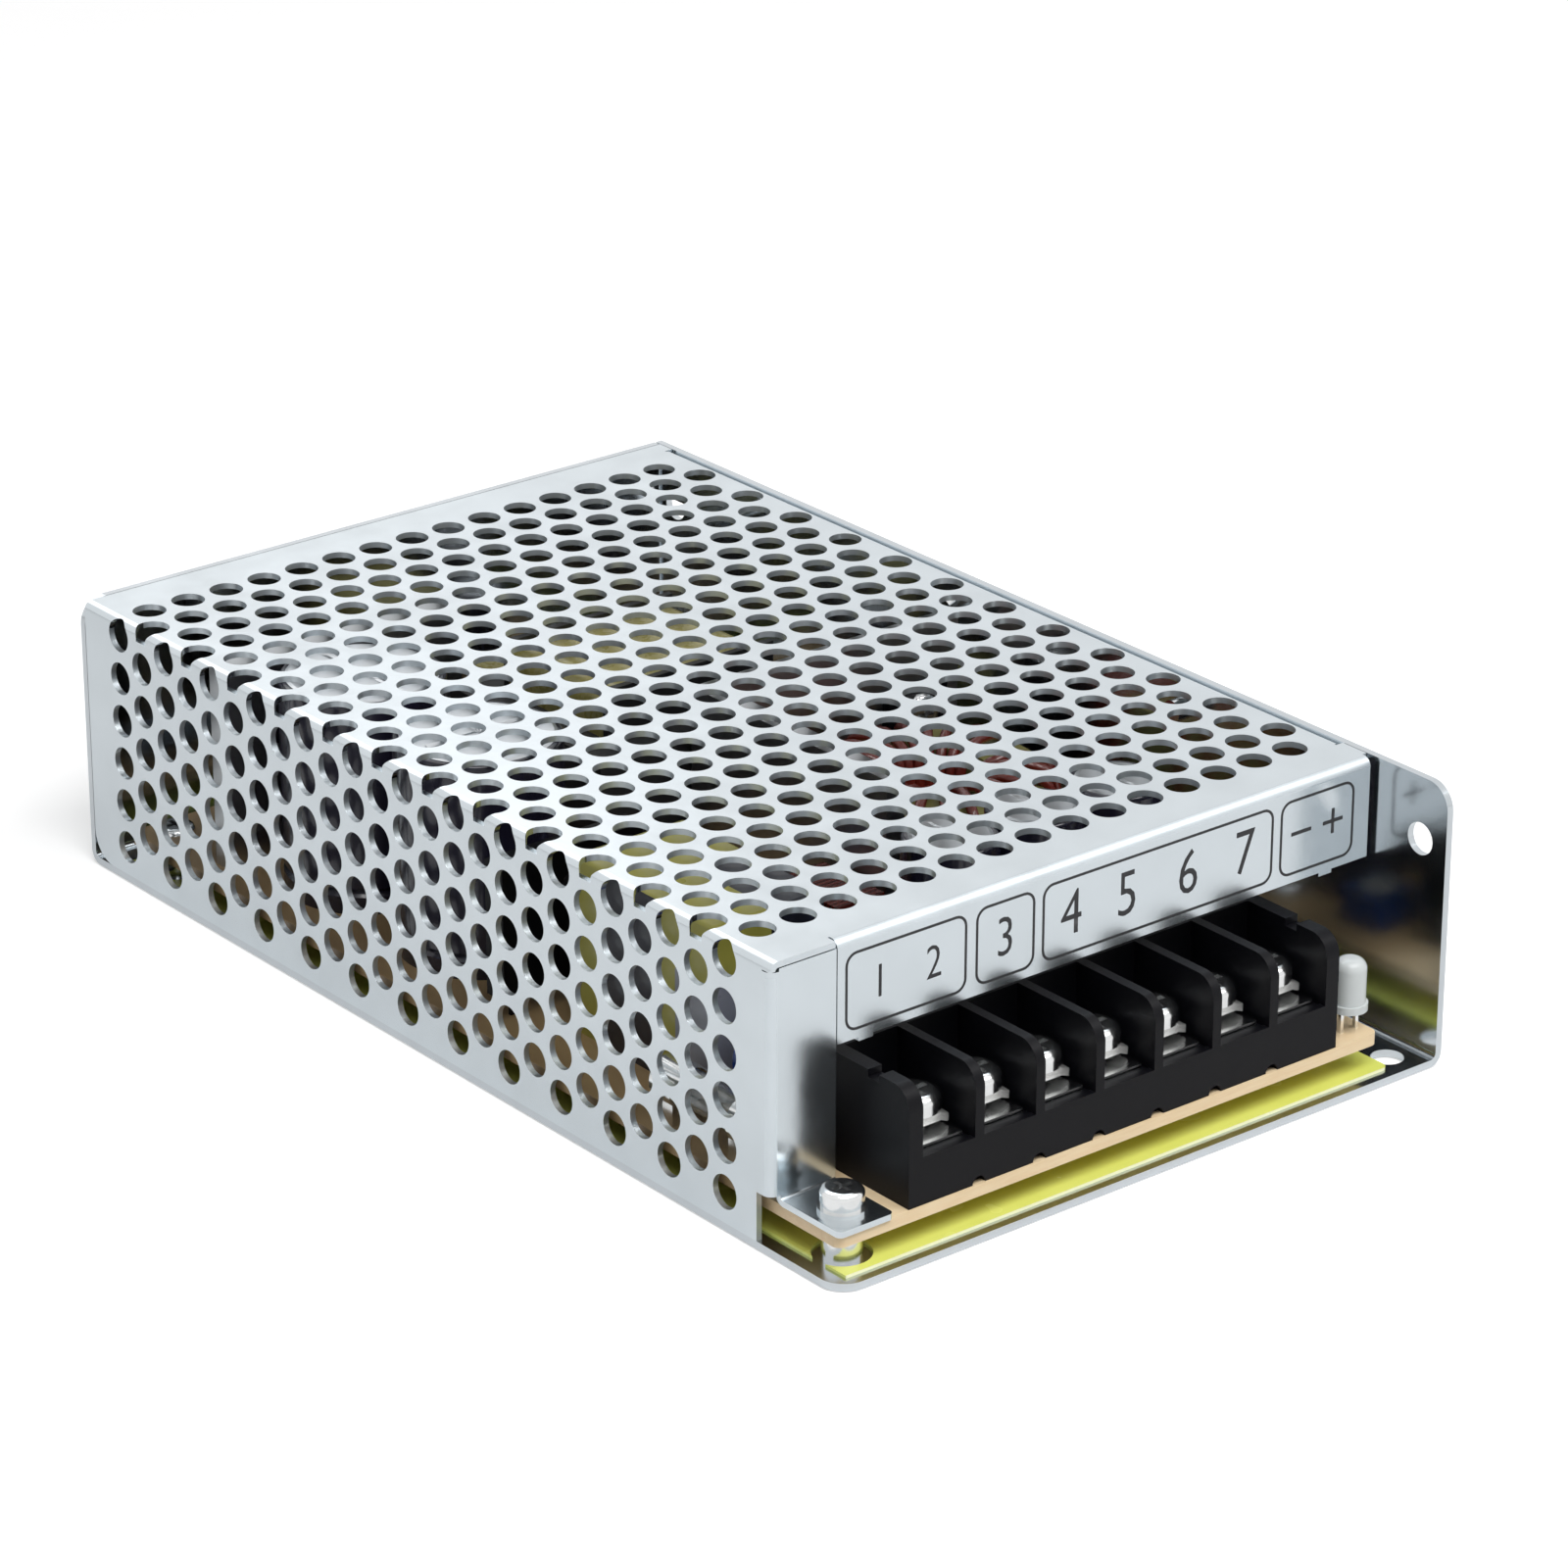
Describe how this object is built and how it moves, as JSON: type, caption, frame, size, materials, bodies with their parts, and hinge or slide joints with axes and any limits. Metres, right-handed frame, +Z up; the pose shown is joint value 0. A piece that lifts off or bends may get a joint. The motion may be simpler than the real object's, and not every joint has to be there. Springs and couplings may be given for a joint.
{
  "type": "mesh case switching power supply",
  "caption": "Switching power supply in a folded perforated steel case, with a screw terminal block and a status light in its open front.",
  "frame": {"origin": "middle of the case's underside", "axes": "+Y from the open terminal end to the rear, +X to the side with the plain wall, +Z up through the mesh top"},
  "size_m": [0.098, 0.159, 0.038],
  "materials": {
    "zinc_steel": "zinc plated, satin",
    "insulating_film": "translucent yellow-green film",
    "laminate": "pale tan circuit laminate",
    "nickel": "nickel plated",
    "black_plastic": "satin black moulding",
    "lens": "milky clear",
    "blue_plastic": "blue",
    "white_plastic": "white",
    "fuse_glass": "clear",
    "dark_dip": "dark green-black dip coat",
    "blue_dip": "blue dip coat",
    "yellow_box": "yellow moulded box",
    "grey_box": "lavender grey moulded box",
    "ferrite": "sintered ferrite",
    "copper_enamel": "dark red enamelled copper wire",
    "tape": "pale yellow tape",
    "bobbin": "black bobbin",
    "sleeve": "dark shrink sleeve",
    "core_powder": "painted powder core",
    "aluminium": "milled",
    "olive": "olive dip coat",
    "resistor_grey": "grey lacquer"
  },
  "bodies": {
    "case": {"chassis": "zinc_steel", "mesh_cover": "zinc_steel", "insulating_sheet": "insulating_film", "circuit_board": "laminate", "board_standoffs": "nickel", "foot_screw": "nickel", "foot_spring_washer": "nickel", "foot_flat_washer": "nickel", "board_screws": "nickel", "cover_screws": "nickel", "terminal_block_housing": "black_plastic", "terminal_contacts": "nickel", "light_lens": "lens", "light_leads": "nickel", "trimmer_body": "blue_plastic", "input_fuse": "fuse_glass", "fuse_caps": "nickel", "fuse_clips": "nickel", "thermistor": "dark_dip", "varistor": "blue_dip", "y_capacitors": "blue_dip", "x_capacitor": "yellow_box", "film_capacitor": "grey_box", "line_choke_core": "ferrite", "line_choke_windings": "copper_enamel", "bridge_rectifier": "black_plastic", "bulk_capacitors": "sleeve", "output_capacitors": "sleeve", "small_capacitors": "sleeve", "transformer_core": "ferrite", "transformer_bobbin": "bobbin", "transformer_winding": "tape", "output_choke_core": "core_powder", "output_choke_winding": "copper_enamel", "secondary_heatsink": "aluminium", "rectifier_packages": "black_plastic", "rectifier_screws": "nickel", "primary_heatsink": "aluminium", "switching_transistors": "black_plastic", "transistor_screws": "nickel", "drive_transformer": "tape", "control_chip": "black_plastic", "optocoupler": "white_plastic", "power_resistors": "resistor_grey", "snubber_capacitor": "olive"},
    "clamp_1": {"terminal_clamp_1": "nickel"},
    "screw_1": {"terminal_screw_1": "nickel"},
    "clamp_2": {"terminal_clamp_2": "nickel"},
    "screw_2": {"terminal_screw_2": "nickel"},
    "clamp_3": {"terminal_clamp_3": "nickel"},
    "screw_3": {"terminal_screw_3": "nickel"},
    "clamp_4": {"terminal_clamp_4": "nickel"},
    "screw_4": {"terminal_screw_4": "nickel"},
    "clamp_5": {"terminal_clamp_5": "nickel"},
    "screw_5": {"terminal_screw_5": "nickel"},
    "clamp_6": {"terminal_clamp_6": "nickel"},
    "screw_6": {"terminal_screw_6": "nickel"},
    "clamp_7": {"terminal_clamp_7": "nickel"},
    "screw_7": {"terminal_screw_7": "nickel"},
    "rotor": {"trimmer_rotor": "white_plastic"}
  },
  "joints": [
    {"name": "clamp_1_lift", "type": "slide", "parent": "case", "child": "clamp_1", "axis": [0, 0, 1], "range_m": [-0.00034, 0.00199]},
    {"name": "screw_1_turn", "type": "hinge", "parent": "clamp_1", "child": "screw_1", "pos_m": [-0.03025, -0.07, 0.01515], "axis": [0, 0, 1], "range_deg": [-205, 1195]},
    {"name": "clamp_2_lift", "type": "slide", "parent": "case", "child": "clamp_2", "axis": [0, 0, 1], "range_m": [-0.00034, 0.00199]},
    {"name": "screw_2_turn", "type": "hinge", "parent": "clamp_2", "child": "screw_2", "pos_m": [-0.02075, -0.07, 0.01515], "axis": [0, 0, 1], "range_deg": [-205, 1195]},
    {"name": "clamp_3_lift", "type": "slide", "parent": "case", "child": "clamp_3", "axis": [0, 0, 1], "range_m": [-0.00034, 0.00199]},
    {"name": "screw_3_turn", "type": "hinge", "parent": "clamp_3", "child": "screw_3", "pos_m": [-0.01125, -0.07, 0.01515], "axis": [0, 0, 1], "range_deg": [-205, 1195]},
    {"name": "clamp_4_lift", "type": "slide", "parent": "case", "child": "clamp_4", "axis": [0, 0, 1], "range_m": [-0.00034, 0.00199]},
    {"name": "screw_4_turn", "type": "hinge", "parent": "clamp_4", "child": "screw_4", "pos_m": [-0.00175, -0.07, 0.01515], "axis": [0, 0, 1], "range_deg": [-205, 1195]},
    {"name": "clamp_5_lift", "type": "slide", "parent": "case", "child": "clamp_5", "axis": [0, 0, 1], "range_m": [-0.00034, 0.00199]},
    {"name": "screw_5_turn", "type": "hinge", "parent": "clamp_5", "child": "screw_5", "pos_m": [0.00775, -0.07, 0.01515], "axis": [0, 0, 1], "range_deg": [-205, 1195]},
    {"name": "clamp_6_lift", "type": "slide", "parent": "case", "child": "clamp_6", "axis": [0, 0, 1], "range_m": [-0.00034, 0.00199]},
    {"name": "screw_6_turn", "type": "hinge", "parent": "clamp_6", "child": "screw_6", "pos_m": [0.01725, -0.07, 0.01515], "axis": [0, 0, 1], "range_deg": [-205, 1195]},
    {"name": "clamp_7_lift", "type": "slide", "parent": "case", "child": "clamp_7", "axis": [0, 0, 1], "range_m": [-0.00034, 0.00199]},
    {"name": "screw_7_turn", "type": "hinge", "parent": "clamp_7", "child": "screw_7", "pos_m": [0.02675, -0.07, 0.01515], "axis": [0, 0, 1], "range_deg": [-205, 1195]},
    {"name": "trimmer_turn", "type": "hinge", "parent": "case", "child": "rotor", "pos_m": [0.03225, -0.05275, 0.01], "axis": [0, 0, 1], "range_deg": [-130, 130]}
  ],
  "couplings": [
    {"joint": "screw_1_turn", "follows": "clamp_1_lift", "rad_per_m": 10472},
    {"joint": "screw_2_turn", "follows": "clamp_2_lift", "rad_per_m": 10472},
    {"joint": "screw_3_turn", "follows": "clamp_3_lift", "rad_per_m": 10472},
    {"joint": "screw_4_turn", "follows": "clamp_4_lift", "rad_per_m": 10472},
    {"joint": "screw_5_turn", "follows": "clamp_5_lift", "rad_per_m": 10472},
    {"joint": "screw_6_turn", "follows": "clamp_6_lift", "rad_per_m": 10472},
    {"joint": "screw_7_turn", "follows": "clamp_7_lift", "rad_per_m": 10472}
  ]
}
